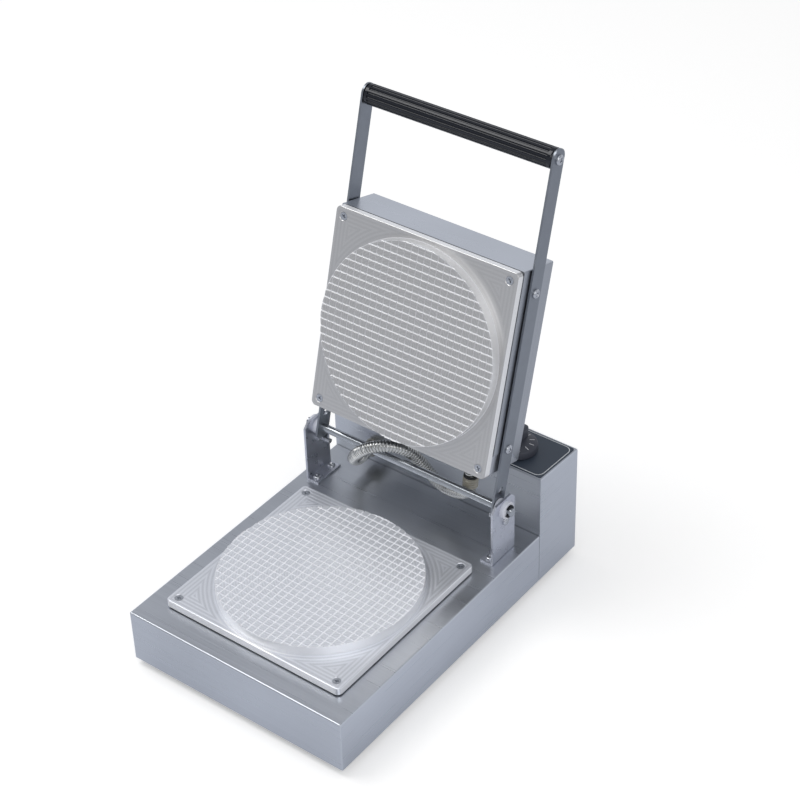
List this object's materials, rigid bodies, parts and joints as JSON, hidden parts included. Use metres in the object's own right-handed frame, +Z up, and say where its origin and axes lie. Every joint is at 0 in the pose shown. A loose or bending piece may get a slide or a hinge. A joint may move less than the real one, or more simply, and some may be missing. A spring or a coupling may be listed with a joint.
{
  "type": "hinged waffle cooker",
  "caption": "Countertop waffle cooker with round grid plates, a hinged lid on lifting arms and a rear control box.",
  "frame": {"origin": "middle of the machine's outline on the surface it stands on, lid open", "axes": "+Z up, +Y from the front edge to the rear control box, +X to the right seen from the front"},
  "size_m": [0.2428, 0.3826, 0.4505],
  "materials": {
    "stainless": "brushed",
    "bracket_steel": "brushed",
    "arm_steel": "brushed",
    "liner_steel": "satin",
    "galvanised": "matte",
    "lower_plate_metal": "machined",
    "upper_plate_metal": "machined",
    "steel_screws": "polished",
    "zinc_screws": "satin",
    "axle_steel": "polished",
    "clip_steel": "satin",
    "hose_metal": "satin",
    "rubber": "matte",
    "grip": "satin",
    "knob": "satin",
    "overlay": "satin",
    "black_plastic": "matte",
    "bush": "satin",
    "terminal_plastic": "matte",
    "lamp_lens": "gloss",
    "gasket": "matte",
    "mica": "matte",
    "insulation": "matte"
  },
  "bodies": {
    "base": {"base_casing": "stainless", "control_casing": "stainless", "rear_panel": "stainless", "bottom_plate": "galvanised", "feet": "rubber", "foot_screws": "zinc_screws", "lower_plate": "lower_plate_metal", "lower_gasket": "gasket", "lower_plate_screws": "steel_screws", "lower_plate_nuts": "zinc_screws", "lower_heater": "mica", "lower_heater_clamp": "galvanised", "lower_insulation": "insulation", "right_bracket": "bracket_steel", "left_bracket": "bracket_steel", "bracket_screws": "steel_screws", "inner_bushes": "bush", "outer_bushes": "bush", "stop_bolts": "steel_screws", "stop_nuts": "steel_screws", "panel_overlay": "overlay", "timer_body": "black_plastic", "thermostat_body": "black_plastic", "control_screws": "zinc_screws", "pilot_lamps": "lamp_lens", "terminal_block": "terminal_plastic", "cable_gland": "black_plastic", "cable_gland_nut": "black_plastic", "box_hose_fitting": "hose_metal", "hose": "hose_metal"},
    "lid": {"upper_plate": "upper_plate_metal", "upper_gasket": "gasket", "upper_plate_screws": "steel_screws", "upper_plate_nuts": "zinc_screws", "upper_heater": "mica", "upper_heater_clamp": "galvanised", "upper_insulation": "insulation", "lid_cover": "stainless", "lid_liner": "liner_steel", "right_arm": "arm_steel", "left_arm": "arm_steel", "arm_spacers": "steel_screws", "arm_screws": "steel_screws", "arm_nuts": "zinc_screws", "handle_grip": "grip", "handle_rod": "steel_screws", "handle_screws": "steel_screws", "axle": "axle_steel", "axle_clips": "clip_steel", "lid_hose_fitting": "hose_metal"},
    "timer": {"timer_knob": "knob", "timer_shaft": "steel_screws"},
    "thermostat": {"thermostat_knob": "knob", "thermostat_shaft": "steel_screws"}
  },
  "joints": [
    {"name": "lid_hinge", "type": "hinge", "parent": "base", "child": "lid", "pos_m": [0, 0.068, 0.1193], "axis": [1, 0, 0], "range_deg": [0, 105.44], "deforming": ["hose"]},
    {"name": "timer_turn", "type": "hinge", "parent": "base", "child": "timer", "pos_m": [0.0756, 0.1362, 0.12919], "axis": [0, 0.0567, 0.9984], "range_deg": [-300, 0]},
    {"name": "thermostat_turn", "type": "hinge", "parent": "base", "child": "thermostat", "pos_m": [-0.0756, 0.1362, 0.12919], "axis": [0, 0.0567, 0.9984], "range_deg": [-270, 0]}
  ]
}
